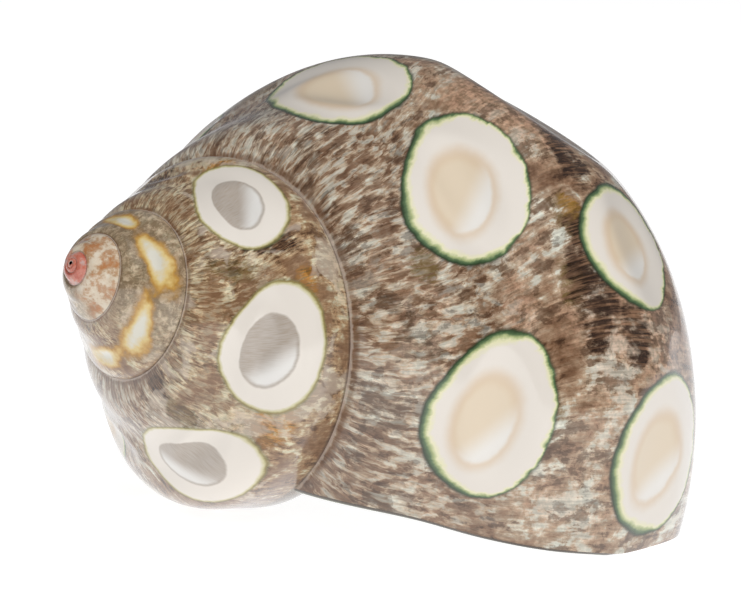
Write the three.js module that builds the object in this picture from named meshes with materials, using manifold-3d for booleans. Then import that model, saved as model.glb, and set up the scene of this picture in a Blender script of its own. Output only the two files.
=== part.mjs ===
// A polished turban shell lying on its mouth. Units are millimetres and +Z is up.
// The shell is one tube that coils round an axis while it grows. An angle called turn runs along
// the tube: 0 faces the front on the last whorl, and it grows towards the lip. An angle called
// around runs round the tube's section: 0 points away from the axis, 90 points to the apex.
// Sizes given "over the radius" are shares of the tube's radius at that turn.

import * as THREE from 'three';
import { mergeVertices } from 'three/addons/utils/BufferGeometryUtils.js';
import Module from 'manifold-3d';

const rad = THREE.MathUtils.degToRad;
const FULL_TURN = 2 * Math.PI;

// Growth of the coil, measured where the last whorl faces the front
const TUBE_RADIUS = 22.3;
const TUBE_DEPTH = 49.1; // from the apex along the axis to the middle of the tube
const COIL_RATIO = 0.924; // from the axis to the middle of the tube, over the radius
const RADIUS_GROWTH = 2.01; // for each whorl
const DEPTH_GROWTH = 2.38; // for each whorl

// The shell grew unevenly: round these turns the tube is wider and lies deeper, as shares
const SPURTS = [
  { turn: rad(-60), wider: 0.022, deeper: 0 },
  { turn: rad(-150), wider: 0, deeper: -0.029 },
  { turn: rad(-240), wider: 0, deeper: -0.03 },
  { turn: rad(-330), wider: 0.055, deeper: 0.016 },
  { turn: rad(-420), wider: -0.02, deeper: 0.019 },
  { turn: rad(-510), wider: 0.023, deeper: 0.071 },
  { turn: rad(-640), wider: -0.021, deeper: 0.01 },
  { turn: rad(-800), wider: -0.039, deeper: 0.056 },
];
const SPURT_SPREAD = rad(52);

// How the shell lies: the apex's place, the axis's heading and slope, and the turn about the axis
const APEX = new THREE.Vector3(-38.16, -25.23, 32.65);
const HEADING = rad(42);
const SLOPE = rad(104.9);
const SPIN = rad(-89.4);

// The section is a circle with these swells and hollows: gain over the radius, place and spread
const SECTION = [
  { name: 'ramp below the suture', gain: -0.287, at: rad(50.7), spread: rad(20.5) },
  { name: 'hollow under the shoulder', gain: -0.207, at: rad(21.5), spread: rad(16) },
  { name: 'keel at the foot of the side', gain: 0.201, at: rad(-56.4), spread: rad(13) },
  { name: 'swell of the base', gain: 0.123, at: rad(-71.6), spread: rad(27) },
  { name: 'flat towards the axis', gain: -0.063, at: rad(178.9), spread: rad(48) },
  { name: 'foot of the columella', gain: 0.12, at: rad(-138), spread: rad(22) },
];
const AXIS_GAP = 0.03; // the tube stops this far short of the axis, over the radius

// Two rows of knobs, each ground down to a flat. The knobs listed are those on the front, and
// behind them the knobs go on with an even spacing. Peak and flat are heights over the radius: of
// the whole knob and of what is left of it at the middle of its flat.
const SHOULDER = {
  at: rad(29.5),
  peak: 0.12,
  flat: 0.019,
  length: rad(18.6),
  width: rad(12.7),
  turns: [6.4, -42.1, -85.5, -139, -192.6, -246.1, -299.7, -349.1, -411.5],
  spacing: 55,
  until: -1100,
};
const SIDE = {
  at: rad(-28),
  peak: 0.14,
  flat: 0.015,
  length: rad(16.7),
  width: rad(10.2),
  turns: [6.8, -30.1, -66.2],
  spacing: 40,
  until: -250,
};
const DEEPEST_FLAT = { turn: -66.2, flat: -0.064 }; // one knob of the side's row is ground away
const FALL_AHEAD = 0.82; // how the shell's round falls away from a flat, for each square radian
const FALL_ABOVE = 0.43;

// The lip: a plane that is tilted off the ground from this place on, and stands back at its corner
const LIP_TILT = rad(4.5);
const LIP_HINGE = 28.68; // where the lip's plane meets the ground, along X
const LIP_CORNER = { at: 0.6, softness: 0.25, slant: 0.1 }; // radians round the section
const LIP_SEARCH = rad(110); // the lip lies between turn 0 and this
const INNER_LIP = rad(78); // where the columella ends
const INNER_LIP_SOFTNESS = rad(6);

// Walls, over the radius
const WALL = 0.1;
const LIP_THINNING = 0.45; // share of the wall that is lost towards the lip
const COLUMELLA_WALL = 0.26; // extra thickness on the side of the axis
const COLUMELLA_SPREAD = rad(52);
const PILLAR_RATIO = 0.07; // radius of the solid pillar on the axis
const PILLAR_END = 52; // from the apex along the axis
const PILLAR_TIP = 1; // length of the pillar's pointed end
const PILLAR_SIDES = 10;
const PILLAR_FROM = -1620; // degrees of turn at the pillar's first full ring
const PILLAR_STEP = 180;

// Rings along the tube. A ring is a whole number of STEP degrees of turn until the last stretch,
// which slants the rings little by little until the last one is the lip.
const STEP = 7.5;
const FIRST_STEP = -240;
const LAST_WHORL_STEP = -34;
const SLANT_STEP = -8;
const SLANT_RINGS = 11;
const EARLY_WHORLS = [
  { until: -144, stride: 4 },
  { until: -80, stride: 2 },
  { until: LAST_WHORL_STEP, stride: 1 },
];
const TUBE_POINTS = { face: 24, behind: 8 };
const CAVITY_POINTS = { face: 13, behind: 8 };
const STRETCH_LENGTH = 36; // steps in one stretch of the early whorls
const CAVITY_OVERRUN = 1; // rings by which the hollow runs out past the lip

// The stretch of the section that shows from outside has the closer points
const FACE_FROM = rad(-115);
const FACE_TO = rad(125);

const MERGE_DISTANCE = 1e-5;
const BIG = 200; // more than the whole shell

const PLACE = new THREE.Matrix4()
  .makeTranslation(APEX.x, APEX.y, APEX.z)
  .multiply(new THREE.Matrix4().makeRotationZ(HEADING))
  .multiply(new THREE.Matrix4().makeRotationY(SLOPE))
  .multiply(new THREE.Matrix4().makeRotationZ(SPIN));

const wasm = await Module();
wasm.setup();

function angleBetween(a, b) {
  const turns = (a - b) / FULL_TURN;
  return (turns - Math.round(turns)) * FULL_TURN;
}

function bell(distance, spread) {
  return Math.exp(-0.5 * (distance / spread) ** 2);
}

function spurt(turn, kind) {
  let sum = 0;
  for (const part of SPURTS) {
    sum += part[kind] * bell(turn - part.turn, SPURT_SPREAD);
  }
  return Math.exp(sum);
}

function tubeRadius(turn) {
  return TUBE_RADIUS * RADIUS_GROWTH ** (turn / FULL_TURN) * spurt(turn, 'wider');
}

function tubeDepth(turn) {
  return TUBE_DEPTH * DEPTH_GROWTH ** (turn / FULL_TURN) * spurt(turn, 'deeper');
}

function sectionRadius(around) {
  let radius = 1;
  for (const part of SECTION) {
    radius += part.gain * bell(angleBetween(around, part.at), part.spread);
  }
  const inward = -Math.cos(around);
  return inward > 0 ? Math.min(radius, (COIL_RATIO - AXIS_GAP) / inward) : radius;
}

// In the coil's own frame: X to the front, Z from the apex along the axis
function tubeMiddle(turn) {
  const out = tubeRadius(turn) * COIL_RATIO;
  return new THREE.Vector3(out * Math.cos(turn), out * Math.sin(turn), tubeDepth(turn));
}

function outwards(turn, around) {
  const out = Math.cos(around);
  return new THREE.Vector3(out * Math.cos(turn), out * Math.sin(turn), -Math.sin(around));
}

function shellPoint(turn, around, section) {
  const reach = tubeRadius(turn) * section;
  return tubeMiddle(turn).addScaledVector(outwards(turn, around), reach).applyMatrix4(PLACE);
}

// Every knob of a row, the front ones and those behind them
function knobRow({ turns, spacing, until, ...size }) {
  const all = [...turns];
  while (all.at(-1) - spacing > until) {
    all.push(all.at(-1) - spacing);
  }
  return all.map((degrees) => {
    const flat = degrees === DEEPEST_FLAT.turn ? DEEPEST_FLAT.flat : size.flat;
    return { ...size, turn: rad(degrees), flat };
  });
}

const KNOBS = [...knobRow(SHOULDER), ...knobRow(SIDE)];

// A knob stands up as a hill whose top is cut off by a flat
function knobHeight(knob, turn, around) {
  const ahead = turn - knob.turn;
  const above = angleBetween(around, knob.at);
  const hill = knob.peak / (1 + ((ahead / knob.length) ** 2 + (above / knob.width) ** 2) ** 3);
  return Math.min(hill, knob.flat + FALL_AHEAD * ahead ** 2 + FALL_ABOVE * above ** 2);
}

function outerSection(turn, around) {
  let section = sectionRadius(around);
  for (const knob of KNOBS) {
    section += knobHeight(knob, turn, around);
  }
  return section;
}

// How the wall goes: share is 0 where the rings start to slant and 1 at the lip
function cavitySection(turn, around, share) {
  const wall = WALL * (1 - LIP_THINNING * share ** 2);
  const roll = Math.sqrt(1 - share ** 4);
  const extra = COLUMELLA_WALL * roll * bell(angleBetween(around, Math.PI), COLUMELLA_SPREAD);
  return sectionRadius(around) - wall - extra;
}

function aboveLipPlane(turn, around) {
  const point = shellPoint(turn, around, sectionRadius(around));
  return point.z > (LIP_HINGE - point.x) * Math.tan(LIP_TILT);
}

// The turn at which the lip is, round the section
function lipTurn(around) {
  let near = 0;
  let far = LIP_SEARCH;
  while (far - near > MERGE_DISTANCE) {
    const middle = (near + far) / 2;
    if (aboveLipPlane(middle, around)) {
      near = middle;
    } else {
      far = middle;
    }
  }
  const { at, softness, slant } = LIP_CORNER;
  const back = slant * softness * Math.log1p(Math.exp((around - at) / softness));
  const ends = [near - back, INNER_LIP].map((end) => Math.exp(-end / INNER_LIP_SOFTNESS));
  return -INNER_LIP_SOFTNESS * Math.log(ends[0] + ends[1]);
}

function solidFrom(geometry) {
  geometry.deleteAttribute('normal');
  geometry.deleteAttribute('uv');
  const merged = mergeVertices(geometry, MERGE_DISTANCE);
  const mesh = new wasm.Mesh({
    numProp: 3,
    vertProperties: Float32Array.from(merged.attributes.position.array),
    triVerts: Uint32Array.from(merged.index.array),
  });
  return new wasm.Manifold(mesh);
}

// Places round the section, from the side of the axis through the face and back
function placesAround({ face, behind }) {
  const places = [];
  for (let i = 0; i < face; i += 1) {
    places.push(FACE_FROM + ((FACE_TO - FACE_FROM) * i) / face);
  }
  for (let i = 0; i < behind; i += 1) {
    const around = FACE_TO + ((FACE_FROM + FULL_TURN - FACE_TO) * i) / behind;
    places.push(angleBetween(around, 0));
  }
  return places;
}

// A ring before the slanting stretch has one turn all round
function evenRing(step) {
  return () => ({ turn: rad(step * STEP), share: 0 });
}

// A ring of the slanting stretch lies part of the way to the lip
function slantedRing(count) {
  const from = rad(SLANT_STEP * STEP);
  const share = count / SLANT_RINGS;
  return (around) => ({
    turn: THREE.MathUtils.lerp(from, lipTurn(around), share),
    share: Math.min(share, 1),
  });
}

function evenRings(from, to, stride) {
  const rings = [];
  for (let step = from; step < to; step += stride) {
    rings.push(evenRing(step));
  }
  return rings;
}

function slantedRings(last) {
  return Array.from({ length: last + 1 }, (_, count) => slantedRing(count));
}

// One stretch of tube through the rings, closed at both ends
function tubeStretch(section, rings, split) {
  const places = placesAround(split);
  const points = places.length;
  const positions = [];
  const index = [];
  for (const ring of rings) {
    for (const around of places) {
      const { turn, share } = ring(around);
      positions.push(...shellPoint(turn, around, section(turn, around, share)).toArray());
    }
  }
  for (let ring = 0; ring + 1 < rings.length; ring += 1) {
    for (let i = 0; i < points; i += 1) {
      const a = ring * points + i;
      const b = ring * points + ((i + 1) % points);
      index.push(a, b + points, a + points, a, b, b + points);
    }
  }
  for (const [ring, flip] of [[0, true], [rings.length - 1, false]]) {
    const middle = positions.length / 3;
    positions.push(...shellPoint(rings[ring](0).turn, 0, 0).toArray());
    for (let i = 0; i < points; i += 1) {
      const a = ring * points + i;
      const b = ring * points + ((i + 1) % points);
      index.push(...(flip ? [middle, b, a] : [middle, a, b]));
    }
  }
  const geometry = new THREE.BufferGeometry();
  geometry.setAttribute('position', new THREE.Float32BufferAttribute(positions, 3));
  geometry.setIndex(index);
  return solidFrom(geometry);
}

// The early whorls, solid from the apex to where the last whorl starts
function earlyWhorls() {
  let whorls = null;
  let step = FIRST_STEP;
  for (const { until, stride } of EARLY_WHORLS) {
    while (step < until) {
      const end = Math.min(step + STRETCH_LENGTH, until);
      const rings = [...evenRings(step, end, stride), evenRing(end)];
      const stretch = tubeStretch(outerSection, rings, TUBE_POINTS);
      whorls = whorls ? whorls.add(stretch) : stretch;
      step = end;
    }
  }
  return whorls;
}

// The pillar on the axis, which closes the gap in the middle of the coil
function pillar() {
  const profile = [new THREE.Vector2(0, tubeDepth(rad(FIRST_STEP * STEP)))];
  for (let degrees = PILLAR_FROM; degrees <= 0; degrees += PILLAR_STEP) {
    const turn = rad(degrees);
    profile.push(new THREE.Vector2(PILLAR_RATIO * tubeRadius(turn), tubeDepth(turn)));
  }
  profile.push(new THREE.Vector2(PILLAR_RATIO * TUBE_RADIUS, PILLAR_END - PILLAR_TIP));
  profile.push(new THREE.Vector2(0, PILLAR_END));
  const geometry = new THREE.LatheGeometry(profile, PILLAR_SIDES);
  geometry.rotateX(Math.PI / 2);
  geometry.applyMatrix4(PLACE);
  return solidFrom(geometry);
}

// The last whorl, filled: it is shorter than a full turn, so it never meets itself
function lastWhorl() {
  const rings = [
    ...evenRings(LAST_WHORL_STEP, SLANT_STEP, 1),
    ...slantedRings(SLANT_RINGS),
  ];
  return tubeStretch(outerSection, rings, TUBE_POINTS);
}

// The hollow in the last stretch of the whorl, which runs out through the mouth
function cavity(earlier) {
  const rings = slantedRings(SLANT_RINGS + CAVITY_OVERRUN);
  return tubeStretch(cavitySection, rings, CAVITY_POINTS).subtract(earlier);
}

// Everything below the ground, which leaves the lip flat where it rests
function groundCut() {
  return solidFrom(new THREE.BoxGeometry(BIG, BIG, BIG).translate(0, 0, -BIG / 2));
}

// The one body of the shell, without the slivers that cuts leave and with no sealed gap inside
function largestBody(solid) {
  const bodies = solid.decompose();
  bodies.sort((a, b) => b.volume() - a.volume());
  return bodies[0];
}

function meshFrom(solid, name, material) {
  const { vertProperties, triVerts } = solid.getMesh();
  const geometry = new THREE.BufferGeometry();
  geometry.setAttribute('position', new THREE.BufferAttribute(vertProperties, 3));
  geometry.setIndex(new THREE.BufferAttribute(triVerts, 1));
  geometry.computeVertexNormals();
  const mesh = new THREE.Mesh(geometry, material);
  mesh.name = name;
  return mesh;
}

const shellMaterial = new THREE.MeshStandardMaterial({
  color: 0x8f8175,
  roughness: 0.2,
  metalness: 0,
});

const earlier = earlyWhorls().add(pillar());
const shell = earlier
  .add(lastWhorl())
  .subtract(cavity(earlier))
  .subtract(groundCut());

const group = new THREE.Group();
group.add(meshFrom(largestBody(shell), 'turban_shell', shellMaterial));

export default group;
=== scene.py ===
# The looks of a polished turban shell lying on its mouth. Units are metres and radians.
# The shell is one tube that coils round an axis while it grows. An angle called turn runs along
# the tube: 0 faces the front on the last whorl, and it grows towards the lip. An angle called
# around runs round the tube's section: 0 points away from the axis, 90 degrees to the apex.
# Sizes "over the radius" are shares of the tube's radius at that turn.

import math

import bpy
import numpy as np
from mathutils import Matrix, Vector


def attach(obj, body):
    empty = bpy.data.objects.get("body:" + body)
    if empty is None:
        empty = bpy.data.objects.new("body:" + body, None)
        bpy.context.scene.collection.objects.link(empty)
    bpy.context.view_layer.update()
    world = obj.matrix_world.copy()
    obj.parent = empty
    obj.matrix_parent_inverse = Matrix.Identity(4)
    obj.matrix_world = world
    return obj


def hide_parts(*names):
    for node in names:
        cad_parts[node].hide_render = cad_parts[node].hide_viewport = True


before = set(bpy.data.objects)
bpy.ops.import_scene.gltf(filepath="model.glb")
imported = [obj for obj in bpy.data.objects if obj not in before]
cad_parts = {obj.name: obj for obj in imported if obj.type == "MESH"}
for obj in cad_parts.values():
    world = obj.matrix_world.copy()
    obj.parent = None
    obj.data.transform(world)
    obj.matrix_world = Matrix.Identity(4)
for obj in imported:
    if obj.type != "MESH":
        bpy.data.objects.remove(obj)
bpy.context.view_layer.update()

rad = np.radians
FULL_TURN = 2 * math.pi

# Growth of the coil, the same as the solid's
TUBE_RADIUS = 0.0223
TUBE_DEPTH = 0.0491
COIL_RATIO = 0.924
RADIUS_GROWTH = 2.01
DEPTH_GROWTH = 2.38
SPURT_SPREAD = rad(52)
SPURTS = [  # degrees of turn, share wider, share deeper
    (-60, 0.022, 0), (-150, 0, -0.029), (-240, 0, -0.03), (-330, 0.055, 0.016),
    (-420, -0.02, 0.019), (-510, 0.023, 0.071), (-640, -0.021, 0.01), (-800, -0.039, 0.056),
]
APEX = Vector((-0.03816, -0.02523, 0.03265))
HEADING = rad(42)
SLOPE = rad(104.9)
SPIN = rad(-89.4)
SECTION = [  # gain over the radius, degrees round the section, spread in degrees
    (-0.287, 50.7, 20.5), (-0.207, 21.5, 16), (0.201, -56.4, 13),
    (0.123, -71.6, 27), (-0.063, 178.9, 48), (0.12, -138, 22),
]
AXIS_GAP = 0.03
LEAST_INWARD = 1e-6

# Rows of knobs, in the solid's places but with the broad soft flanks that polishing leaves
KNOB_SOFTNESS = 0.02
SHOULDER = dict(
    at=29.5, peak=0.1, flat=0.025, length=19, width=16,
    turns=[6.4, -42.1, -85.5, -139, -192.6, -246.1, -299.7, -349.1, -411.5], spacing=55, until=-1100,
)
SIDE = dict(
    at=-28, peak=0.1, flat=0.022, length=17, width=14,
    turns=[6.8, -30.1, -66.2], spacing=40, until=-250,
)
DEEPEST_TURN = -66.2
DEEPEST_FLAT = -0.064
FALL_AHEAD = 0.82
FALL_ABOVE = 0.43

# The lip and the walls
LIP_TILT = rad(4.5)
LIP_HINGE = 0.02868
LIP_CORNER_AT = 0.6
LIP_CORNER_SOFTNESS = 0.25
LIP_CORNER_SLANT = 0.1
LIP_SEARCH = rad(110)
INNER_LIP = rad(78)
INNER_LIP_SOFTNESS = rad(6)
WALL = 0.1
LIP_THINNING = 0.45
COLUMELLA_WALL = 0.26
COLUMELLA_SPREAD = rad(52)
PILLAR_RATIO = 0.07

# Ground spots: turn and place round the section in degrees, half length and half width over the
# radius, tilt of the length towards the apex in degrees, and kind: 0 has a thick green rim, 1 a
# thin olive one, and 2 is a worn patch that fades into amber.
SPOTS = [
    (-87.4, 29.5, 0.53, 0.31, 15, 0), (-40.4, 33.7, 0.475, 0.285, 20, 0), (9.4, 35.6, 0.43, 0.26, 18, 0),
    (-28.8, -22.5, 0.39, 0.31, 34, 0), (6.2, -30.0, 0.43, 0.325, 24, 0), (-413.5, 32.0, 0.69, 0.4, 7, 1),
    (-347.5, 25.8, 0.63, 0.4, 14, 1), (-289, 25.2, 0.65, 0.35, 18, 1),
    (-805, 36, 0.75, 0.26, 6, 2), (-741, 27, 0.85, 0.3, -14, 2), (-679, 33, 0.8, 0.28, -10, 2),
    (-141, 30, 0.46, 0.31, 15, 0), (-188, 30, 0.47, 0.3, 14, 0), (-229.5, 28, 0.41, 0.27, 16, 0),
    (-108, -28, 0.42, 0.3, 25, 0), (-147, -28, 0.4, 0.29, 25, 0),
    (-187, -28, 0.38, 0.28, 25, 0), (-226, -28, 0.34, 0.26, 25, 0),
    (-521.5, 30, 0.66, 0.34, 8, 1), (-576.5, 30, 0.6, 0.3, 6, 1),
    (-628, 30, 0.6, 0.25, 0, 2), (-868, 34, 0.6, 0.22, 4, 2), (-930, 34, 0.6, 0.2, 4, 2),
]

# The grid of the fine mesh: turns and places round the section in degrees, and numbers of
# rows, columns and rounds of a search
FIRST_TURN = -2160
LAST_TURN = 100
EARLY_ROW_STEP = 5
FINE_FROM = -480
FINE_ROW_STEP = 1.25
SLANT_FROM = -60
SLANT_ROWS = 108
HOLLOW_FROM = -150
HOLLOW_ROW_STEP = 3
HOLLOW_SLANT_ROWS = 54
FACE_FROM = -80
FACE_TO = 100
FACE_COLUMNS = 112
BACK_COLUMNS = 48
RIM_ROWS = 6
LEAST_SWING = 0.4  # the least distance from the axis that the lip's rounding is worked out with
BURIED = -0.03  # how deep in another whorl a point is left out, over the radius
PILLAR_FROM = -500
PILLAR_STEP = 10
PILLAR_SIDES = 16
SUTURE_STEP = 3
SUTURE_FROM = 15
SUTURE_TO = 150
SUTURE_SEARCH_STEP = 0.5
NEVER_COVERED = -9
LIP_ROUNDS = 30
LEAN_PLACES = 181

# A ground spot's outline is an oval with a slight egg shape and a slight triangle in it
EGG = 0.08
TRIANGLE = 0.04
FAR_AWAY = 9.0

# Growth lines run along the lip between these places, and lean this much beyond the second
LEAN_FROM = rad(-115)
LEAN_TO = rad(48)
LEAN_BEYOND = 0.22

# The photograph's camera
EYE = Vector((0.003735, -0.457806, 0.102804))
CAMERA_RIGHT = Vector((0.99779, 0.02350, 0.06224))
CAMERA_UP = Vector((-0.06525, 0.16349, 0.98438))
CAMERA_BACK = Vector((0.01296, -0.98627, 0.16466))
FIELD_OF_VIEW = math.radians(11.573)
FARTHEST_SEEN = 20

PLACE = (
    Matrix.Translation(APEX)
    @ Matrix.Rotation(HEADING, 4, "Z")
    @ Matrix.Rotation(SLOPE, 4, "Y")
    @ Matrix.Rotation(SPIN, 4, "Z")
)
PLACE_TURN = np.array(PLACE.to_3x3())
PLACE_SHIFT = np.array(PLACE.translation)

# Brightness of the white light tent: its walls, and its opening towards the camera, which
# goes over into the walls between these parts of the way from the front to the back
TENT_WALL = 2.4
TENT_FRONT = 0.4
OPENING_INSIDE = -0.95
OPENING_OUTSIDE = -0.35

# The soft lights, with their power in watts, and the floor
LIGHT_TARGET = (0, 0, 0.03)
LIGHT_SIZE = 0.8
OVERHEAD_PLACE, OVERHEAD_POWER = (0.1, -0.45, 0.85), 6.6
FRONT_PLACE, FRONT_POWER = (0.45, -0.9, 0.6), 1.2
FLOOR_HALF_SIZE = 6.0
FLOOR_GREY = (0.28, 0.28, 0.28, 1)
FLOOR_PALE_GREY = (0.32, 0.32, 0.32, 1)
FLOOR_GLOW = 0.92


# Form

def angle_between(a, b):
    turns = (a - b) / FULL_TURN
    return (turns - np.round(turns)) * FULL_TURN


def bell(distance, spread):
    return np.exp(-0.5 * (distance / spread) ** 2)


def tube_radius(turn):
    wider = sum(gain * bell(turn - rad(at), SPURT_SPREAD) for at, gain, _ in SPURTS)
    return TUBE_RADIUS * RADIUS_GROWTH ** (turn / FULL_TURN) * np.exp(wider)


def tube_depth(turn):
    deeper = sum(gain * bell(turn - rad(at), SPURT_SPREAD) for at, _, gain in SPURTS)
    return TUBE_DEPTH * DEPTH_GROWTH ** (turn / FULL_TURN) * np.exp(deeper)


def section_radius(around):
    radius = np.ones_like(around)
    for gain, at, spread in SECTION:
        radius += gain * bell(angle_between(around, rad(at)), rad(spread))
    inward = np.maximum(-np.cos(around), LEAST_INWARD)
    return np.minimum(radius, (COIL_RATIO - AXIS_GAP) / inward)


def row_turns(row):
    turns = list(row["turns"])
    while turns[-1] - row["spacing"] > row["until"]:
        turns.append(turns[-1] - row["spacing"])
    return turns


def soft_minimum(a, b):
    return -KNOB_SOFTNESS * np.log(np.exp(-a / KNOB_SOFTNESS) + np.exp(-b / KNOB_SOFTNESS))


def knob_relief(turn, around):
    relief = np.zeros_like(turn)
    for row in (SHOULDER, SIDE):
        above = angle_between(around, rad(row["at"]))
        for degrees in row_turns(row):
            flat = DEEPEST_FLAT if degrees == DEEPEST_TURN else row["flat"]
            ahead = turn - rad(degrees)
            distance = (ahead / rad(row["length"])) ** 2 + (above / rad(row["width"])) ** 2
            hill = row["peak"] / (1 + distance ** 2)
            ground = flat + FALL_AHEAD * ahead ** 2 + FALL_ABOVE * above ** 2
            relief += soft_minimum(hill, np.minimum(ground, 1))
    return relief


def outer_reach(turn, around):
    return section_radius(around) + knob_relief(turn, around)


def in_plane(turn, around, reach):
    """Distance from the axis and depth along it."""
    radius = tube_radius(turn)
    out = radius * (COIL_RATIO + reach * np.cos(around))
    return out, tube_depth(turn) - radius * reach * np.sin(around)


def place(turn, around, reach):
    out, deep = in_plane(turn, around, reach)
    local = np.stack([out * np.cos(turn), out * np.sin(turn), deep], axis=-1)
    return local @ PLACE_TURN.T + PLACE_SHIFT


def clearance(turn, out, deep):
    """How far a point of the half plane at this turn is outside the tube there, over the radius."""
    radius = tube_radius(turn)
    x = out - radius * COIL_RATIO
    y = tube_depth(turn) - deep
    around = np.arctan2(y, x)
    return np.hypot(x, y) / radius - section_radius(around), around


def lip_turn(around):
    """The turn at which the lip is, round the section."""
    near = np.zeros_like(around)
    far = np.full_like(around, LIP_SEARCH)
    section = section_radius(around)
    for _ in range(LIP_ROUNDS):
        middle = (near + far) / 2
        point = place(middle, around, section)
        above = point[..., 2] > (LIP_HINGE - point[..., 0]) * math.tan(LIP_TILT)
        near = np.where(above, middle, near)
        far = np.where(above, far, middle)
    corner = np.log1p(np.exp((around - LIP_CORNER_AT) / LIP_CORNER_SOFTNESS))
    turn = near - LIP_CORNER_SLANT * LIP_CORNER_SOFTNESS * corner
    soft = np.exp(-turn / INNER_LIP_SOFTNESS) + math.exp(-INNER_LIP / INNER_LIP_SOFTNESS)
    return -INNER_LIP_SOFTNESS * np.log(soft)


def wall_at(around, share):
    roll = np.sqrt(1 - np.minimum(share, 1) ** 4)
    extra = COLUMELLA_WALL * roll * bell(angle_between(around, math.pi), COLUMELLA_SPREAD)
    return WALL * (1 - LIP_THINNING * share ** 2) + extra


def columns():
    """Places round the section, closer on the face that shows."""
    face = np.linspace(FACE_FROM, FACE_TO, FACE_COLUMNS, endpoint=False)
    back = np.linspace(FACE_TO, FACE_FROM + 360, BACK_COLUMNS, endpoint=False)
    return angle_between(rad(np.concatenate([face, back])), 0)


def suture_tables():
    """Where each whorl comes out of the one before, and where the next one covers it."""
    turns = rad(np.arange(FIRST_TURN, LAST_TURN, SUTURE_STEP, dtype=float))
    search = rad(np.arange(SUTURE_FROM, SUTURE_TO, SUTURE_SEARCH_STEP))
    turn_grid, around_grid = np.meshgrid(turns, search, indexing="ij")
    out, deep = in_plane(turn_grid, around_grid, section_radius(around_grid))
    free, _ = clearance(turn_grid - FULL_TURN, out, deep)
    upper = search[np.argmax(free < 0, axis=1)]
    out, deep = in_plane(turns, upper, section_radius(upper))
    _, lower = clearance(turns - FULL_TURN, out, deep)
    return turns, upper, lower


def spot_fields(turn, around):
    """The nearest spot: distance from its middle over its size, place along and across, and kind."""
    distance = np.full_like(turn, FAR_AWAY)
    along = np.zeros_like(turn)
    across = np.zeros_like(turn)
    kind = np.zeros_like(turn)
    for degrees, at, length, width, tilt, style in SPOTS:
        section = section_radius(np.array([rad(at)]))[0]
        u = (turn - rad(degrees)) * (COIL_RATIO + section * math.cos(rad(at)))
        v = angle_between(around, rad(at)) * section
        x = (u * math.cos(rad(tilt)) + v * math.sin(rad(tilt))) / length
        y = (v * math.cos(rad(tilt)) - u * math.sin(rad(tilt))) / width
        angle = np.arctan2(y, x)
        here = np.hypot(x, y) * (1 + TRIANGLE * np.cos(3 * angle) + EGG * np.cos(angle))
        nearer = here < distance
        distance = np.where(nearer, here, distance)
        along = np.where(nearer, x, along)
        across = np.where(nearer, y, across)
        kind = np.where(nearer, style, kind)
    return distance, along, across, kind


# Mesh

FIELD_NAMES = [
    "growth", "around", "below_suture", "above_suture",
    "spot", "spot_along", "spot_across", "spot_kind", "turn", "rim",
]


class Grid:
    """Rows and columns of points with their shading coordinates."""

    def __init__(self, turn, around, reach, material, rim=0.0):
        self.turn = turn
        self.around = np.broadcast_to(around, turn.shape)
        self.points = place(turn, self.around, reach)
        self.points[..., 2] = np.maximum(self.points[..., 2], 0)
        self.material = material
        self.rim = np.broadcast_to(rim, turn.shape)
        self.keep = np.ones(turn.shape, bool)

    def drop_buried(self, reach):
        """Leaves out what lies inside the whorl before or the solid whorl after."""
        out, deep = in_plane(self.turn, self.around, reach)
        before, _ = clearance(self.turn - FULL_TURN, out, deep)
        after, _ = clearance(self.turn + FULL_TURN, out, deep)
        solid_after = self.turn + FULL_TURN < rad(HOLLOW_FROM)
        buried = (before < BURIED) | ((after < BURIED) & solid_after)
        self.keep = ~buried

    def faces(self):
        rows, count = self.turn.shape
        index = np.arange(rows * count).reshape(rows, count)
        right = np.roll(index, -1, axis=1)
        quads = np.stack([index[:-1], right[:-1], right[1:], index[1:]], axis=-1).reshape(-1, 4)
        return quads[self.keep.ravel()[quads].any(axis=1)]


def early_grid(around):
    turns = rad(np.arange(FIRST_TURN, FINE_FROM + EARLY_ROW_STEP, EARLY_ROW_STEP, dtype=float))
    around = around[::2]
    turn = np.repeat(turns[:, None], len(around), axis=1)
    grid_around = np.broadcast_to(around, turn.shape)
    reach = outer_reach(turn, grid_around)
    grid = Grid(turn, around, reach, 0)
    grid.drop_buried(reach)
    return grid


def slanted_turns(lip, start, rows):
    share = np.linspace(0, 1, rows)[:, None]
    return start + (lip[None, :] - start) * share, np.repeat(share, len(lip), axis=1)


def skin_grid(around, lip):
    even = rad(np.arange(FINE_FROM, SLANT_FROM, FINE_ROW_STEP, dtype=float))
    even = np.repeat(even[:, None], len(around), axis=1)
    slanted, _ = slanted_turns(lip, rad(SLANT_FROM), SLANT_ROWS)
    turn = np.concatenate([even, slanted])
    reach = outer_reach(turn, np.broadcast_to(around, turn.shape))
    grid = Grid(turn, around, reach, 0)
    grid.drop_buried(reach)
    return grid, reach[-1]


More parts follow.
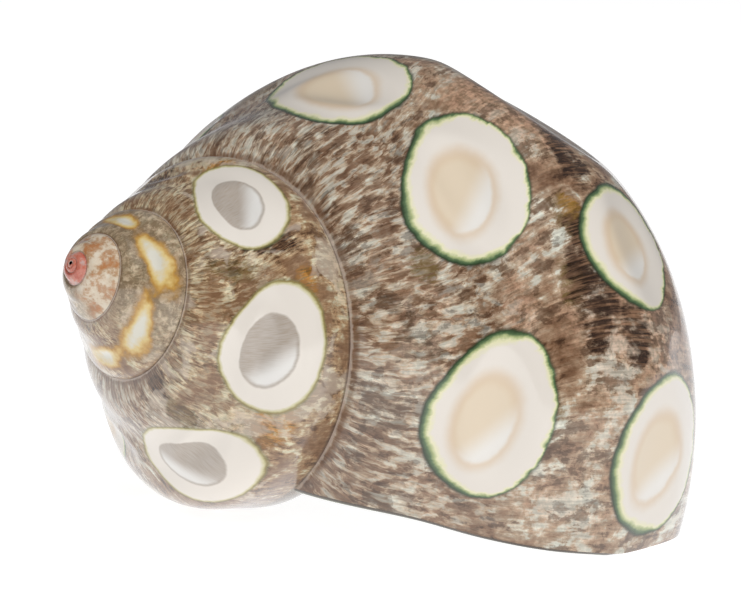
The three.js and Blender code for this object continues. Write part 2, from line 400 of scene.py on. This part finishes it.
def rim_and_hollow_grid(around, lip, rim_size, outer_lip_reach):
    """From the skin's edge over the rounded rim and back into the mouth."""
    inner_lip_reach = section_radius(around) - wall_at(around, np.ones_like(around))
    angles = np.linspace(0, math.pi, RIM_ROWS)[:, None]
    middle = (outer_lip_reach + inner_lip_reach) / 2
    half = (outer_lip_reach - inner_lip_reach) / 2
    rim_reach = middle + half * np.cos(angles)
    rim_turn = lip + rim_size * np.sin(angles)
    slanted, share = slanted_turns(lip, rad(SLANT_FROM), HOLLOW_SLANT_ROWS)
    slanted, share = slanted[-2::-1], share[-2::-1]
    even = rad(np.arange(SLANT_FROM - HOLLOW_ROW_STEP, HOLLOW_FROM, -HOLLOW_ROW_STEP, dtype=float))
    even = np.repeat(even[:, None], len(around), axis=1)
    turn = np.concatenate([rim_turn, slanted, even])
    share = np.concatenate([np.ones_like(rim_turn), share, np.zeros_like(even)])
    grid_around = np.broadcast_to(around, turn.shape)
    reach = section_radius(grid_around) - wall_at(grid_around, share)
    reach[:RIM_ROWS] = rim_reach
    rim = np.ones_like(turn)
    rim[:RIM_ROWS] = angles / math.pi
    grid = Grid(turn, around, reach, 1, rim)
    out, deep = in_plane(grid.turn, grid.around, reach)
    before, _ = clearance(grid.turn - FULL_TURN, out, deep)
    grid.keep = before > BURIED
    return grid


def pillar_grid():
    """The pillar on the axis, which closes the gap in the middle of the coil."""
    turns = rad(np.arange(PILLAR_FROM, 1, PILLAR_STEP, dtype=float))
    sides = np.linspace(0, FULL_TURN, PILLAR_SIDES, endpoint=False)
    radius = PILLAR_RATIO * tube_radius(turns)
    depth = tube_depth(turns)
    radius = np.append(radius, 0)
    depth = np.append(depth, depth[-1] + PILLAR_RATIO * TUBE_RADIUS)
    turn = np.repeat(np.append(turns, turns[-1])[:, None], len(sides), axis=1)
    grid = Grid(turn, sides, np.ones_like(turn), 0)
    local = np.stack([
        radius[:, None] * np.cos(sides), radius[:, None] * np.sin(sides),
        np.repeat(depth[:, None], len(sides), axis=1)], axis=-1)
    grid.points = local @ PLACE_TURN.T + PLACE_SHIFT
    return grid


def shell_mesh():
    around = columns()
    lip = lip_turn(around)
    outer_lip = section_radius(around)
    swing = COIL_RATIO + outer_lip * np.cos(around)
    rim_size = wall_at(around, np.ones_like(around)) / 2 / np.maximum(swing, LEAST_SWING)
    lip = lip - rim_size
    skin, skin_lip = skin_grid(around, lip)
    grids = [early_grid(around), skin, rim_and_hollow_grid(around, lip, rim_size, skin_lip), pillar_grid()]
    points, faces, materials, fields = [], [], [], []
    start = 0
    suture_turns, upper, lower = suture_tables()
    lean_places = np.linspace(-math.pi, math.pi, LEAN_PLACES)
    lean_table = lip_turn(np.clip(lean_places, LEAN_FROM, LEAN_TO)) - lip_turn(np.zeros(1))[0]
    lean_table += LEAN_BEYOND * np.maximum(lean_places - LEAN_TO, 0)
    for grid in grids:
        quads = grid.faces() + start
        turn, place_round = grid.turn.ravel(), grid.around.ravel()
        points.append(grid.points.reshape(-1, 3))
        faces.append(quads)
        materials.append(np.full(len(quads), grid.material))
        start += turn.size
        reach = section_radius(place_round)
        distance, along, across, kind = spot_fields(turn, place_round)
        lean = np.interp(place_round, lean_places, lean_table)
        fields.append(np.stack([
            turn - lean,
            place_round,
            (np.interp(turn, suture_turns, upper) - place_round) * reach,
            (place_round - np.interp(turn + FULL_TURN, suture_turns, lower, right=NEVER_COVERED)) * reach,
            distance, along, across, kind, turn, grid.rim.ravel(),
        ], axis=1))
    return [np.concatenate(part) for part in (points, faces, materials, fields)]


def shell_object(materials):
    points, faces, material_index, fields = shell_mesh()
    used, faces = np.unique(faces, return_inverse=True)
    faces = faces.reshape(-1, 4)
    points, fields = points[used], fields[used]
    mesh = bpy.data.meshes.new("turban_shell_fine")
    mesh.from_pydata(points.tolist(), [], faces.tolist())
    mesh.polygons.foreach_set("material_index", material_index.astype(np.int32))
    mesh.polygons.foreach_set("use_smooth", np.ones(len(faces), bool))
    for column, name in enumerate(FIELD_NAMES):
        attribute = mesh.attributes.new(name, "FLOAT", "POINT")
        attribute.data.foreach_set("value", fields[:, column].astype(np.float32))
    for material in materials:
        mesh.materials.append(material)
    mesh.update()
    shell = bpy.data.objects.new("turban_shell_fine", mesh)
    bpy.context.scene.collection.objects.link(shell)
    return shell


# Materials

def srgb(red, green, blue):
    """A colour from its 8-bit screen values."""
    def linear(value):
        share = value / 255
        return share / 12.92 if share <= 0.04045 else ((share + 0.055) / 1.055) ** 2.4
    return (linear(red), linear(green), linear(blue), 1)


# Where the sockets for colours are among the Mix node's, which has them for other kinds too
MIX_COLOUR_A = 6
MIX_COLOUR_B = 7
MIX_COLOUR_RESULT = 2


class Shader:
    """Short calls for the nodes of one material."""

    def __init__(self, name):
        self.material = bpy.data.materials.new(name)
        self.material.use_nodes = True
        self.tree = self.material.node_tree
        self.surface = self.tree.nodes["Principled BSDF"]

    def node(self, kind, **settings):
        made = self.tree.nodes.new(kind)
        for name, value in settings.items():
            setattr(made, name, value)
        return made

    def feed(self, socket, value):
        if isinstance(value, bpy.types.NodeSocket):
            self.tree.links.new(value, socket)
        else:
            socket.default_value = value

    def set(self, name, value):
        self.feed(self.surface.inputs[name], value)

    def field(self, name):
        return self.node("ShaderNodeAttribute", attribute_name=name).outputs["Fac"]

    def place(self):
        return self.node("ShaderNodeTexCoord").outputs["Object"]

    def math(self, operation, a, b=0.0):
        made = self.node("ShaderNodeMath", operation=operation)
        self.feed(made.inputs[0], a)
        self.feed(made.inputs[1], b)
        return made.outputs[0]

    def add(self, a, b):
        return self.math("ADD", a, b)

    def less(self, a, b):
        return self.math("SUBTRACT", a, b)

    def times(self, a, b):
        return self.math("MULTIPLY", a, b)

    def over(self, a, b):
        return self.math("DIVIDE", a, b)

    def opposite(self, share):
        return self.less(1.0, share)

    def blend(self, share, a, b):
        return self.add(self.times(self.opposite(share), a), self.times(share, b))

    def either(self, a, b):
        return self.math("MAXIMUM", a, b)

    def along_lines(self, growth, around, shortening):
        """Coordinates in which noise makes streaks along the growth lines."""
        made = self.node("ShaderNodeCombineXYZ")
        self.feed(made.inputs[0], growth)
        self.feed(made.inputs[1], self.times(around, shortening))
        return made.outputs[0]

    def shift(self, vector, other, amount):
        made = self.node("ShaderNodeVectorMath", operation="MULTIPLY_ADD")
        self.feed(made.inputs[0], other)
        made.inputs[1].default_value = (amount, amount, amount)
        self.feed(made.inputs[2], vector)
        return made.outputs[0]

    def noise(self, vector, scale, detail, roughness=0.5, distortion=0.0, colour=False):
        made = self.node("ShaderNodeTexNoise")
        self.feed(made.inputs["Vector"], vector)
        made.inputs["Scale"].default_value = scale
        made.inputs["Detail"].default_value = detail
        made.inputs["Roughness"].default_value = roughness
        made.inputs["Distortion"].default_value = distortion
        return made.outputs["Color" if colour else "Fac"]

    def swing(self, noise, amount):
        """A noise as a swing about zero."""
        return self.times(self.add(noise, -0.5), amount)

    def step(self, value, low, high):
        """0 below low and 1 above high, smooth between, and the other way round if low > high."""
        made = self.node("ShaderNodeMapRange", interpolation_type="SMOOTHSTEP", clamp=True)
        self.feed(made.inputs["Value"], value)
        lowest, highest = min(low, high), max(low, high)
        made.inputs["From Min"].default_value = lowest
        made.inputs["From Max"].default_value = highest
        made.inputs["To Min"].default_value = 0 if low < high else 1
        made.inputs["To Max"].default_value = 1 if low < high else 0
        return made.outputs[0]

    def mix(self, share, a, b, way="MIX"):
        made = self.node("ShaderNodeMix", data_type="RGBA", blend_type=way)
        self.feed(made.inputs[0], share)
        self.feed(made.inputs[MIX_COLOUR_A], a)
        self.feed(made.inputs[MIX_COLOUR_B], b)
        return made.outputs[MIX_COLOUR_RESULT]

    def multiply(self, share, a, b):
        return self.mix(share, a, b, "MULTIPLY")

    def ramp(self, value, stops):
        made = self.node("ShaderNodeValToRGB")
        self.feed(made.inputs[0], value)
        elements = made.color_ramp.elements
        for position, colour in stops[1:-1]:
            elements.new(position).color = colour
        elements[0].position, elements[0].color = stops[0]
        elements[-1].position, elements[-1].color = stops[-1]
        return made.outputs[0]

    def bump(self, height, strength, distance):
        made = self.node("ShaderNodeBump")
        made.inputs["Strength"].default_value = strength
        made.inputs["Distance"].default_value = distance
        self.feed(made.inputs["Height"], height)
        self.set("Normal", made.outputs[0])

    def places(self, ovals):
        """1 in the middle of ovals of the coil, given in degrees, and 0 outside them."""
        turn, around = self.field("turn"), self.field("around")
        inside = 0.0
        for at_turn, at_around, reach_turn, reach_around in ovals:
            x = self.over(self.less(turn, rad(at_turn)), rad(reach_turn))
            y = self.over(self.less(around, rad(at_around)), rad(reach_around))
            square = self.add(self.times(x, x), self.times(y, y))
            inside = self.either(self.step(square, OVAL_EDGE, 0), inside)
        return inside


# Colours of the mottled outer layer
TAUPE_DARK = srgb(96, 68, 48)
BROWN = srgb(128, 96, 72)
TAUPE = srgb(160, 130, 104)
TAUPE_PALE = srgb(204, 184, 158)
PALE_BLUE = srgb(222, 222, 208)
PINK_TAN = srgb(208, 168, 140)
CHOCOLATE = srgb(44, 25, 16)
RED_BROWN = srgb(104, 70, 48)
OLIVE = srgb(118, 100, 44)
AMBER = srgb(214, 150, 58)
SUTURE_PALE = srgb(206, 188, 174)
LINE_DARK = (0.62, 0.6, 0.58, 1)
LINE_PALE = (1.3, 1.3, 1.3, 1)
GRAIN_DARK = (0.8, 0.79, 0.78, 1)
GRAIN_PALE = (1.16, 1.15, 1.15, 1)

# Colours of the spire
WARM_TINT = (1, 0.94, 0.78, 1)
PINK_PALE = srgb(214, 196, 178)
ORANGE_BROWN = srgb(190, 128, 80)
APRICOT = srgb(196, 160, 126)
SHELL_BEIGE = srgb(226, 208, 184)
CREAM = srgb(232, 220, 200)
SPECK_DARK = srgb(134, 116, 90)
SPECK_MIDDLE = srgb(168, 148, 120)
SPECK_PALE = srgb(206, 186, 158)
CORAL = srgb(192, 96, 76)
CORAL_PALE = srgb(206, 128, 108)
APEX_GREY = srgb(202, 172, 164)

# Colours of the ground spots
SPOT_WHITE = srgb(240, 232, 222)
SPOT_CREAM = srgb(240, 236, 196)
SPOT_YELLOW_GREEN = srgb(186, 196, 140)
SPOT_GREEN = srgb(92, 118, 80)
SPOT_DEEP_GREEN = srgb(54, 72, 48)
SPOT_DARK = srgb(38, 42, 30)
THIN_RIM_PALE = srgb(214, 206, 160)
THIN_RIM_OLIVE = srgb(150, 136, 76)
WORN_WHITE = srgb(226, 222, 208)
WORN_YELLOW = srgb(226, 200, 134)
WORN_AMBER = srgb(196, 146, 60)
WORN_BROWN = srgb(140, 100, 52)
SPOT_TAN = srgb(234, 216, 190)
SPOT_PEACH = srgb(226, 200, 168)
SPOT_TAUPE = srgb(180, 166, 152)
SPOT_TAUPE_LINE = srgb(194, 184, 174)
# A painted highlight that stands in for the pearly reflection in a spot's middle
PAINTED_PEARL_HIGHLIGHT = srgb(246, 244, 240)

# Colours of the inside and of its edge
NACRE = srgb(226, 224, 218)
NACRE_ROSE = srgb(222, 214, 214)
NACRE_GREEN = srgb(214, 224, 216)
NACRE_GOLD = srgb(232, 226, 212)
EDGE_BROWN = srgb(70, 56, 44)
EDGE_GREEN = srgb(84, 92, 64)
EDGE_CREAM = srgb(206, 200, 168)
EDGE_WHITE = srgb(230, 226, 220)

# Noise scales: swings per metre, or per radian along the coil, and how much shorter the
# coordinate round the section is, which draws a streak out along the growth lines
WARP_SCALE = 160
PATCH_SCALE = 390
CLUSTER_SCALE = 170
LARGE_SCALE = 62
GRAIN_SCALE = 1050
STREAK_SCALE, STREAK_SHORTENING = 31, 0.2
FINE_LINE_SCALE, FINE_LINE_SHORTENING = 95, 0.05
WAVE_SCALE, WAVE_SHORTENING = 27, 0.22
FEATHER_SCALE, FEATHER_SHORTENING = 11, 0.3
SPOT_LINE_SCALE, SPOT_LINE_SHORTENING = 170, 0.03
SPOT_SOFT_SCALE = 300
WORN_SCALE = 420
SPIRE_PATCH_SCALE = 620
NACRE_SCALE = 70
NACRE_RIPPLE_SCALE = 260
EDGE_SCALE = 500
FLOOR_SCALE = 30

# Places of the dark, olive, amber and pink stretches: turn and place round the section in
# degrees, then their half sizes. OVAL_EDGE is the square of the distance at which they end.
DARK_PLACES = [
    (-21, -4, 17, 11), (-13, -17, 7, 8), (-9, -73, 11, 12), (-45, -12, 9, 7),
    (-390, 22, 6, 30), (-302, 86, 9, 18), (-171, 0, 14, 12), (-210, -4, 12, 10),
    (-470, 40, 9, 40), (-150, -75, 14, 16), (-60, -90, 12, 14),
]
OLIVE_PLACES = [
    (-32, -2, 7, 8), (-20, 3, 6, 6), (-23, 61, 6, 8), (3, 12, 4, 9), (-378, 55, 8, 30), (-302, 60, 8, 24),
    (-120, 10, 12, 14), (-200, 6, 12, 12),
]
AMBER_PLACES = [
    (-34, -3, 4, 5), (-375, 1, 9, 9), (-328, 6, 12, 18), (-306, 20, 8, 16), (-440, 12, 10, 22),
    (-545, 15, 12, 24),
]
PINK_PLACES = [
    (-6, 63, 14, 18), (-14, -20, 9, 30), (-60, -5, 18, 22), (-14, 22, 9, 8), (-350, 80, 16, 18),
    (-165, 40, 16, 20), (-150, -50, 18, 18),
]
OVAL_EDGE = 1.4

# Turns between which the spire's warmer colours, its speckled third whorl, its beige fourth
# whorl and its coral tip set in, in degrees
SPIRE = (-280, -320)
SPIRE_PATCHES = (-280, -300)
THIRD_WHORL = (-640, -700)
FOURTH_WHORL = (-980, -1030)
TIP = (-1190, -1240)


def mottle(shader):
    """The mottled outer layer: patches, growth streaks and dark blotches."""
    growth, around = shader.field("growth"), shader.field("around")
    below = shader.field("below_suture")
    place = shader.place()
    warp = shader.noise(place, WARP_SCALE, 3, 0.6, colour=True)
    lines = shader.shift(shader.along_lines(growth, around, STREAK_SHORTENING), warp, 0.022)
    streak = shader.noise(lines, STREAK_SCALE, 5, 0.66)
    fine_lines = shader.along_lines(growth, around, FINE_LINE_SHORTENING)
    fine_streak = shader.noise(fine_lines, FINE_LINE_SCALE, 3, 0.6)
    warped = shader.shift(place, warp, 0.003)
    patch = shader.noise(warped, PATCH_SCALE, 5, 0.64, 0.5)
    cluster = shader.noise(warped, CLUSTER_SCALE, 3, 0.55, 0.5)
    large = shader.noise(place, LARGE_SCALE, 3)
    grain = shader.noise(place, GRAIN_SCALE, 3, 0.7)
    tone = shader.add(shader.times(patch, 0.33), shader.times(streak, 0.37))
    tone = shader.add(tone, shader.times(cluster, 0.3))
    tone = shader.add(tone, shader.swing(large, 0.28))
    colour = shader.ramp(tone, [(0.36, TAUPE_DARK), (0.42, BROWN), (0.48, TAUPE), (0.56, TAUPE_PALE)])
    colour = shader.mix(shader.step(tone, 0.52, 0.58), colour, PALE_BLUE)

    # Warm speckled stretches
    speckled = shader.mix(shader.step(grain, 0.42, 0.6), TAUPE, PINK_TAN)
    pink = shader.either(shader.places(PINK_PLACES), shader.times(shader.step(large, 0.5, 0.66), 0.6))
    colour = shader.mix(shader.times(pink, 0.7), colour, speckled)

    # Wavy streaks that cross the whorl below the suture
    band = shader.times(shader.step(below, 0.0, 0.08), shader.step(below, 1.05, 0.45))
    wavy_lines = shader.shift(shader.along_lines(growth, around, WAVE_SHORTENING), warp, 0.06)
    waves = shader.ramp(shader.noise(wavy_lines, WAVE_SCALE, 4, 0.6, 0.5), [
        (0.38, TAUPE_DARK), (0.46, BROWN), (0.53, TAUPE_PALE), (0.6, PALE_BLUE)])
    colour = shader.mix(shader.times(band, 0.6), colour, waves)

    # Amber, olive and dark blotches with ragged edges along the growth lines
    blotch = shader.add(shader.times(streak, 0.6), shader.times(patch, 0.4))
    for places, strength, tint, other in (
            (AMBER_PLACES, 0.8, AMBER, OLIVE),
            (OLIVE_PLACES, 0.65, OLIVE, TAUPE_DARK),
            (DARK_PLACES, 0.92, CHOCOLATE, BROWN)):
        ragged = shader.add(shader.times(shader.places(places), 0.39), shader.times(blotch, -1.2))
        share = shader.times(shader.step(ragged, -0.44, -0.22), strength)
        lined = shader.mix(shader.step(fine_streak, 0.42, 0.66), tint, other)
        colour = shader.mix(share, colour, lined)
    scattered = shader.step(shader.add(blotch, shader.times(cluster, -0.5)), 0.225, 0.18)
    colour = shader.mix(shader.times(scattered, 0.45), colour, CHOCOLATE)

    # Fine growth lines and grain
    colour = shader.multiply(0.75, colour, shader.ramp(fine_streak, [(0.3, LINE_DARK), (0.68, LINE_PALE)]))
    colour = shader.multiply(0.75, colour, shader.ramp(grain, [(0.3, GRAIN_DARK), (0.7, GRAIN_PALE)]))
    return colour, patch, cluster, grain


def spire(shader, colour, patch, cluster, grain):
    """The warmer, speckled, beige and coral colours towards the apex."""
    def younger_than(turns):
        return shader.step(shader.field("turn"), rad(turns[0]), rad(turns[1]))

    colour = shader.multiply(younger_than(SPIRE), colour, WARM_TINT)
    patched = shader.times(younger_than(SPIRE_PATCHES), 0.5)
    colour = shader.mix(shader.times(patched, shader.step(cluster, 0.48, 0.4)), colour, BROWN)
    colour = shader.mix(shader.times(patched, shader.step(cluster, 0.53, 0.6)), colour, PINK_PALE)
    fine_patch = shader.noise(shader.place(), SPIRE_PATCH_SCALE, 4, 0.65)
    speckled = shader.mix(
        shader.step(grain, 0.4, 0.6), SPECK_DARK,
        shader.mix(shader.step(patch, 0.42, 0.6), SPECK_MIDDLE, SPECK_PALE))
    beige = shader.ramp(fine_patch, [
        (0.38, ORANGE_BROWN), (0.47, APRICOT), (0.55, SHELL_BEIGE), (0.64, CREAM)])
    coral = shader.ramp(fine_patch, [(0.38, CORAL), (0.5, CORAL_PALE), (0.6, APEX_GREY)])
    colour = shader.mix(shader.times(younger_than(THIRD_WHORL), 0.75), colour, speckled)
    colour = shader.mix(shader.times(younger_than(FOURTH_WHORL), 0.9), colour, beige)
    return shader.mix(younger_than(TIP), colour, coral)


def suture_line(shader, colour, grain):
    """The pale thread and the dark line where two whorls meet, with painted shade in the crease just above
    the suture.
    """
    distance = shader.add(shader.field("below_suture"), shader.swing(grain, 0.03))
    dark = shader.times(shader.step(distance, 0.07, 0.04), shader.step(distance, 0.015, 0.03))
    colour = shader.mix(shader.times(dark, 0.5), colour, RED_BROWN)
    pale = shader.step(distance, 0.026, 0.012)
    colour = shader.mix(shader.times(pale, 0.75), colour, SUTURE_PALE)
    # Painted shade: the older whorl darkens towards the crease where the next whorl covers it
    shadow = shader.step(shader.field("above_suture"), 0.05, 0.015)
    return shader.mix(shader.times(shadow, 0.6), colour, CHOCOLATE)


def spot_rims(shader, spot, along, across, feather):
    """The colours and the shares of the three kinds of spot, from the white layer to the rim."""
    # Kind 0: a green rim that is thicker towards the apex, towards the lip and at both ends
    ends = shader.times(shader.math("ABSOLUTE", along), 0.5)
    heavy = shader.add(shader.add(shader.times(across, 0.6), shader.times(along, 0.35)), ends)
    band = shader.add(0.07, shader.times(shader.step(heavy, -0.3, 0.95), 0.17))
    band = shader.add(band, shader.times(shader.step(feather, 0.4, 0.62), 0.06))
    rim_place = shader.over(shader.less(spot, shader.less(1.08, band)), band)
    thick = shader.ramp(rim_place, [
        (0.0, SPOT_WHITE), (0.32, SPOT_CREAM), (0.5, SPOT_YELLOW_GREEN),
        (0.68, SPOT_GREEN), (0.84, SPOT_DEEP_GREEN), (0.96, SPOT_DARK)])

    # Kind 1: a thin olive rim
    thin = shader.ramp(shader.times(spot, 0.5), [
        (0.485, SPOT_WHITE), (0.505, THIN_RIM_PALE), (0.52, THIN_RIM_OLIVE), (0.54, SPOT_GREEN)])

    # Kind 2: a worn patch that fades into amber
    worn_spot = shader.add(spot, shader.swing(shader.noise(shader.place(), WORN_SCALE, 3, 0.6), 1.1))
    worn = shader.ramp(shader.times(worn_spot, 0.5), [
        (0.14, WORN_WHITE), (0.3, WORN_YELLOW), (0.42, WORN_AMBER), (0.56, WORN_BROWN)])
    return (
        (thick, shader.step(spot, 1.1, 1.04)),
        (thin, shader.step(spot, 1.1, 1.02)),
        (worn, shader.step(worn_spot, 1.25, 0.7)),
    )


def ground_spots(shader, colour):
    """The ovals where the knobs are ground down through the green layer into the white one."""
    growth, around = shader.field("growth"), shader.field("around")
    along, across = shader.field("spot_along"), shader.field("spot_across")
    kind = shader.field("spot_kind")
    is_thin = shader.step(kind, 0.4, 0.6)
    is_worn = shader.step(kind, 1.4, 1.6)
    feather_lines = shader.along_lines(growth, around, FEATHER_SHORTENING)
    feather = shader.noise(feather_lines, FEATHER_SCALE, 4, 0.62)
    soft = shader.noise(shader.place(), SPOT_SOFT_SCALE, 3, 0.6)
    ragged = shader.add(shader.swing(feather, 0.1), shader.swing(soft, 0.05))
    spot = shader.add(shader.field("spot"), ragged)
    rims = spot_rims(shader, spot, along, across, feather)
    (thick, thick_share), (thin, thin_share), (worn, worn_share) = rims
    outer = shader.mix(is_worn, shader.mix(is_thin, thick, thin), worn)
    mask = shader.blend(is_worn, shader.blend(is_thin, thick_share, thin_share), worn_share)

    # The darker middle, with fine lines and a painted highlight: a pale crescent that stands in for a
    # pearly reflection
    x = shader.add(along, 0.02)
    squares = shader.add(shader.times(x, x), shader.times(shader.times(across, across), 1.1))
    inner = shader.add(shader.times(shader.math("SQRT", squares), 0.9), shader.swing(soft, 0.1))
    soft_edge = shader.step(inner, 0.68, 0.44)
    crisp_edge = shader.step(inner, 0.58, 0.53)
    middle = shader.times(shader.blend(is_thin, soft_edge, crisp_edge), shader.opposite(is_worn))
    spot_lines = shader.along_lines(growth, around, SPOT_LINE_SHORTENING)
    lines = shader.noise(spot_lines, SPOT_LINE_SCALE, 2)
    tan = shader.mix(shader.step(inner, 0.36, 0.56), SPOT_TAN, SPOT_PEACH)
    taupe = shader.mix(shader.step(lines, 0.3, 0.7), SPOT_TAUPE, SPOT_TAUPE_LINE)
    # Painted highlight: a pale crescent fixed to one side of the middle, in place of a pearly reflection
    towards_lip = shader.less(shader.times(along, 0.5), shader.times(across, 0.85))
    painted_highlight_share = shader.times(shader.step(towards_lip, 0.02, 0.42), shader.step(inner, 0.55, 0.47))
    middle_colour = shader.mix(shader.times(painted_highlight_share, 0.85), shader.mix(is_thin, tan, taupe), PAINTED_PEARL_HIGHLIGHT)
    return shader.mix(mask, colour, shader.mix(middle, outer, middle_colour)), mask


def shell_material():
    shader = Shader("polished_shell")
    colour, patch, cluster, grain = mottle(shader)
    colour = spire(shader, colour, patch, cluster, grain)
    colour = suture_line(shader, colour, grain)
    colour, mask = ground_spots(shader, colour)
    shader.set("Base Color", colour)
    shader.set("Roughness", 0.22)
    shader.set("IOR", 1.53)
    shader.set("Coat Weight", 0.8)
    shader.set("Coat Roughness", 0.04)
    shader.set("Sheen Weight", 0.4)
    shader.set("Sheen Roughness", 0.3)
    shader.set("Sheen Tint", (0.96, 0.93, 0.97, 1))
    height = shader.times(shader.add(patch, grain), shader.opposite(mask))
    shader.bump(height, 0.12, 0.00015)
    return shader.material


def nacre_material():
    """The inside: silver-white nacre behind a thin dark edge."""
    shader = Shader("nacre")
    place = shader.place()
    tint = shader.ramp(shader.noise(place, NACRE_SCALE, 3, 0.5, 1.5), [
        (0.35, NACRE_ROSE), (0.48, NACRE), (0.56, NACRE_GREEN), (0.68, NACRE_GOLD)])
    rim = shader.field("rim")
    edge = shader.add(rim, shader.swing(shader.noise(place, EDGE_SCALE, 3, 0.6), 0.12))
    colour = shader.ramp(edge, [
        (0.12, EDGE_BROWN), (0.3, EDGE_GREEN), (0.45, EDGE_CREAM), (0.62, EDGE_WHITE)])
    colour = shader.mix(shader.step(rim, 0.6, 0.95), colour, tint)
    shader.set("Base Color", colour)
    shader.set("Roughness", 0.2)
    shader.set("Coat Weight", 0.5)
    shader.set("Coat Roughness", 0.08)
    shader.bump(shader.noise(place, NACRE_RIPPLE_SCALE, 2), 0.08, 0.0003)
    return shader.material


# Stage

def floor():
    mesh = bpy.data.meshes.new("floor")
    far = FLOOR_HALF_SIZE
    mesh.from_pydata([(-far, -far, 0), (far, -far, 0), (far, far, 0), (-far, far, 0)], [], [(0, 1, 2, 3)])
    shader = Shader("white_floor")
    speck = shader.noise(shader.place(), FLOOR_SCALE, 2)
    shader.set("Base Color", shader.ramp(speck, [(0, FLOOR_GREY), (1, FLOOR_PALE_GREY)]))
    shader.set("Roughness", 0.6)
    shader.set("Emission Color", (1, 1, 1, 1))
    shader.set("Emission Strength", FLOOR_GLOW)
    mesh.materials.append(shader.material)
    plane = bpy.data.objects.new("floor", mesh)
    bpy.context.scene.collection.objects.link(plane)


def soft_light(name, place, power):
    light = bpy.data.lights.new(name, "AREA")
    light.shape = "SQUARE"
    light.size = LIGHT_SIZE
    light.energy = power
    lamp = bpy.data.objects.new(name, light)
    lamp.location = place
    direction = Vector(LIGHT_TARGET) - Vector(place)
    lamp.visible_glossy = False
    lamp.rotation_euler = direction.to_track_quat("-Z", "Y").to_euler()
    bpy.context.scene.collection.objects.link(lamp)


def lighting():
    world = bpy.data.worlds.new("light_tent")
    world.use_nodes = True
    tree = world.node_tree
    background = tree.nodes["Background"]
    direction = tree.nodes.new("ShaderNodeSeparateXYZ")
    tree.links.new(tree.nodes.new("ShaderNodeTexCoord").outputs["Generated"], direction.inputs[0])
    opening = tree.nodes.new("ShaderNodeMapRange")
    opening.interpolation_type = "SMOOTHSTEP"
    tree.links.new(direction.outputs["Y"], opening.inputs["Value"])
    opening.inputs["From Min"].default_value = OPENING_INSIDE
    opening.inputs["From Max"].default_value = OPENING_OUTSIDE
    opening.inputs["To Min"].default_value = TENT_FRONT
    opening.inputs["To Max"].default_value = TENT_WALL

    # The camera itself sees at least plain white
    seen = tree.nodes.new("ShaderNodeLightPath").outputs["Is Camera Ray"]
    brightest = tree.nodes.new("ShaderNodeMath")
    brightest.operation = "MAXIMUM"
    tree.links.new(opening.outputs[0], brightest.inputs[0])
    tree.links.new(seen, brightest.inputs[1])
    tree.links.new(brightest.outputs[0], background.inputs["Strength"])
    bpy.context.scene.world = world
    soft_light("overhead", OVERHEAD_PLACE, OVERHEAD_POWER)
    soft_light("front", FRONT_PLACE, FRONT_POWER)


def camera():
    data = bpy.data.cameras.new("camera")
    data.sensor_fit = "HORIZONTAL"
    data.angle = FIELD_OF_VIEW
    data.clip_end = FARTHEST_SEEN
    viewer = bpy.data.objects.new("camera", data)
    turn = Matrix((CAMERA_RIGHT, CAMERA_UP, CAMERA_BACK)).transposed()
    viewer.matrix_world = Matrix.Translation(EYE) @ turn.to_4x4()
    bpy.context.scene.collection.objects.link(viewer)
    bpy.context.scene.camera = viewer


camera()
lighting()
floor()
shell = shell_object([shell_material(), nacre_material()])
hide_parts("turban_shell")
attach(shell, "root")
bpy.context.scene.view_settings.view_transform = "Standard"
